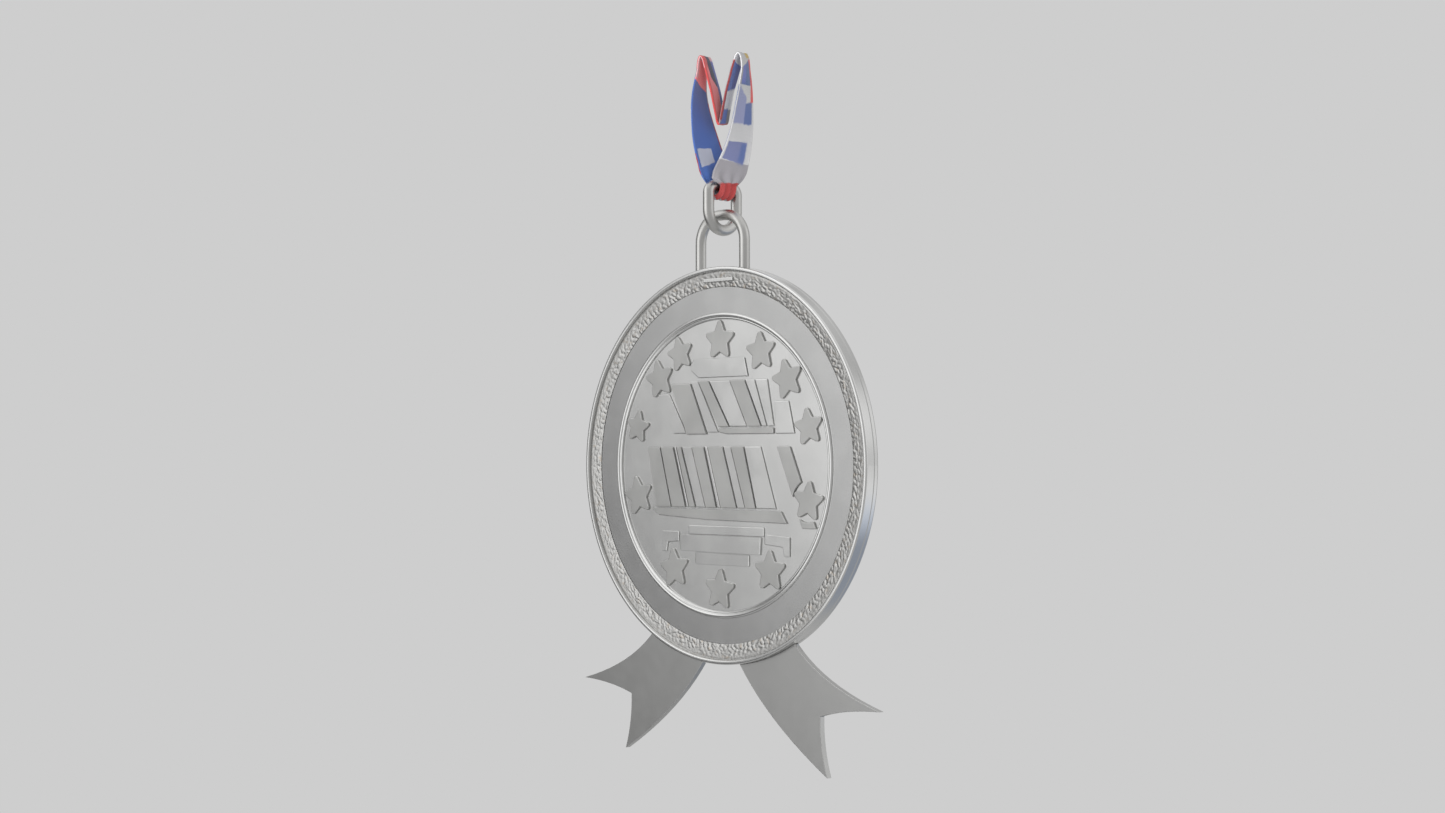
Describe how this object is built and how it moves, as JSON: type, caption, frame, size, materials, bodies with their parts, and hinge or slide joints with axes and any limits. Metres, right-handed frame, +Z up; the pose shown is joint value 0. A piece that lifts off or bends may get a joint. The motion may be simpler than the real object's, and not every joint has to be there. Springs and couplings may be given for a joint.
{
  "type": "award medal",
  "caption": "Round silver award medal with a raised rim, star and bar relief and swallow-tail ends, hung by a wire bail and link from a short striped ribbon loop.",
  "frame": {"origin": "where a peg carries the medal: the middle of the underside of the dip in the ribbon loop", "axes": "+Z up, the disc hangs below in the XZ plane with its decorated face towards -Y"},
  "size_m": [0.0838, 0.0138, 0.144],
  "materials": {
    "polished_silver": "polished silver plate with fine turning marks",
    "mirror_silver": "smooth polished silver plate, slightly clouded",
    "brushed_silver": "satin silver plate, circular grain",
    "satin_silver": "bead-blasted satin silver plate",
    "bright_relief": "polished silver relief",
    "matte_relief": "frosted silver relief",
    "polished_wire": "polished silver-plated wire",
    "pin_steel": "plain steel pins",
    "ribbon_fabric": "woven ribbon in red, white and blue blocks",
    "sewing_thread": "white sewing thread"
  },
  "bodies": {
    "ribbon_loop": {"ribbon": "ribbon_fabric", "ribbon_stitches": "sewing_thread"},
    "link": {"link": "polished_wire"},
    "medal": {"front_shell": "polished_silver", "back_shell": "polished_silver", "locating_pins": "pin_steel", "wreath_ring": "satin_silver", "wreath_tie": "polished_silver", "field_ring": "brushed_silver", "bezel_ring": "polished_silver", "centre_disc": "mirror_silver", "star_01": "matte_relief", "star_02": "matte_relief", "star_03": "matte_relief", "star_04": "matte_relief", "star_05": "matte_relief", "star_06": "matte_relief", "star_07": "matte_relief", "star_08": "matte_relief", "star_09": "matte_relief", "star_10": "matte_relief", "star_11": "matte_relief", "star_12": "matte_relief", "upper_cap_plate": "bright_relief", "upper_bright_bars": "bright_relief", "upper_dark_bars": "matte_relief", "upper_base_strip": "matte_relief", "lower_bright_bars": "bright_relief", "lower_dark_bars": "matte_relief", "lower_rail": "matte_relief", "scroll_plate": "bright_relief", "scroll_back_strips": "bright_relief", "scroll_folds": "bright_relief", "tail_left": "satin_silver", "tail_right": "satin_silver", "bail": "polished_wire"}
  },
  "joints": [
    {"name": "link_swing", "type": "hinge", "parent": "ribbon_loop", "child": "link", "pos_m": [0, 0, -0.01252], "axis": [0, 1, 0], "range_deg": [-45, 45]},
    {"name": "medal_swing", "type": "hinge", "parent": "link", "child": "medal", "pos_m": [0, 0, -0.01827], "axis": [1, 0, 0], "range_deg": [-90, 90]}
  ]
}
